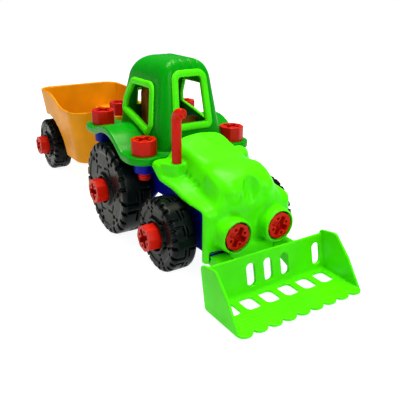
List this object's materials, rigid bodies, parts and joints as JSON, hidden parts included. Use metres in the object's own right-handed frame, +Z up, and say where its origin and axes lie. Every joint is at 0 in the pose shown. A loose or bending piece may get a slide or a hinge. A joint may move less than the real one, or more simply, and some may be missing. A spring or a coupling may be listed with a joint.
{
  "type": "toy tractor",
  "caption": "Toy tractor with a cab, a bolted hood, a front loader bucket on a lift pivot, spoked plastic wheels and a turning trailer, all held by large turnable bolts.",
  "frame": {"origin": "centre of the whole toy's box, on the floor plane", "axes": "+X forward to the loader bucket, +Y to the tractor's left, +Z up"},
  "size_m": [0.6285, 0.21, 0.2235],
  "materials": {
    "lime_plastic": "moulded satin gloss",
    "dark_green_plastic": "moulded satin gloss",
    "red_plastic": "moulded gloss",
    "blue_plastic": "moulded satin",
    "orange_plastic": "moulded satin gloss",
    "brown_plastic": "moulded satin",
    "black_plastic": "moulded satin gloss"
  },
  "bodies": {
    "tractor": {"chassis_frame": "blue_plastic", "cab_shell": "dark_green_plastic", "windscreen_frame": "lime_plastic", "rear_window_frame": "lime_plastic", "side_window_frame_right": "lime_plastic", "side_window_frame_left": "lime_plastic", "cab_seat": "brown_plastic", "hood_shell": "lime_plastic", "exhaust_stack": "red_plastic", "loader_pin": "blue_plastic", "hitch_nut": "red_plastic", "fender_bolt_front_right": "red_plastic", "fender_bolt_rear_right": "red_plastic", "fender_bolt_front_left": "red_plastic", "fender_bolt_rear_left": "red_plastic", "headlight_bolt_right": "red_plastic", "headlight_bolt_left": "red_plastic", "hitch_bolt": "red_plastic", "rear_wheel_bolt_right": "red_plastic", "rear_wheel_bolt_left": "red_plastic", "front_wheel_bolt_right": "red_plastic", "front_wheel_bolt_left": "red_plastic"},
    "rear_wheel_right": {"rear_wheel_right": "black_plastic"},
    "rear_wheel_left": {"rear_wheel_left": "black_plastic"},
    "front_wheel_right": {"front_wheel_right": "black_plastic"},
    "front_wheel_left": {"front_wheel_left": "black_plastic"},
    "loader": {"loader_bucket": "lime_plastic"},
    "trailer": {"trailer_tub": "orange_plastic", "trailer_wheel_bolt_right": "red_plastic", "trailer_wheel_bolt_left": "red_plastic"},
    "trailer_wheel_right": {"trailer_wheel_right": "black_plastic"},
    "trailer_wheel_left": {"trailer_wheel_left": "black_plastic"}
  },
  "joints": [
    {"name": "rear_wheel_right_spin", "type": "hinge", "parent": "tractor", "child": "rear_wheel_right", "pos_m": [0.027, 0, 0.06], "axis": [0, 1, 0], "continuous": true},
    {"name": "rear_wheel_left_spin", "type": "hinge", "parent": "tractor", "child": "rear_wheel_left", "pos_m": [0.027, 0, 0.06], "axis": [0, 1, 0], "continuous": true},
    {"name": "front_wheel_right_spin", "type": "hinge", "parent": "tractor", "child": "front_wheel_right", "pos_m": [0.1517, 0, 0.043], "axis": [0, 1, 0], "continuous": true},
    {"name": "front_wheel_left_spin", "type": "hinge", "parent": "tractor", "child": "front_wheel_left", "pos_m": [0.1517, 0, 0.043], "axis": [0, 1, 0], "continuous": true},
    {"name": "trailer_wheel_right_spin", "type": "hinge", "parent": "trailer", "child": "trailer_wheel_right", "pos_m": [-0.272, 0, 0.043], "axis": [0, 1, 0], "continuous": true},
    {"name": "trailer_wheel_left_spin", "type": "hinge", "parent": "trailer", "child": "trailer_wheel_left", "pos_m": [-0.272, 0, 0.043], "axis": [0, 1, 0], "continuous": true},
    {"name": "loader_lift", "type": "hinge", "parent": "tractor", "child": "loader", "pos_m": [0.213, 0, 0.034], "axis": [0, -1, 0], "range_deg": [0, 14]},
    {"name": "trailer_turn", "type": "hinge", "parent": "tractor", "child": "trailer", "pos_m": [-0.114, 0, 0.116], "axis": [0, 0, 1], "range_deg": [-40, 40]}
  ]
}
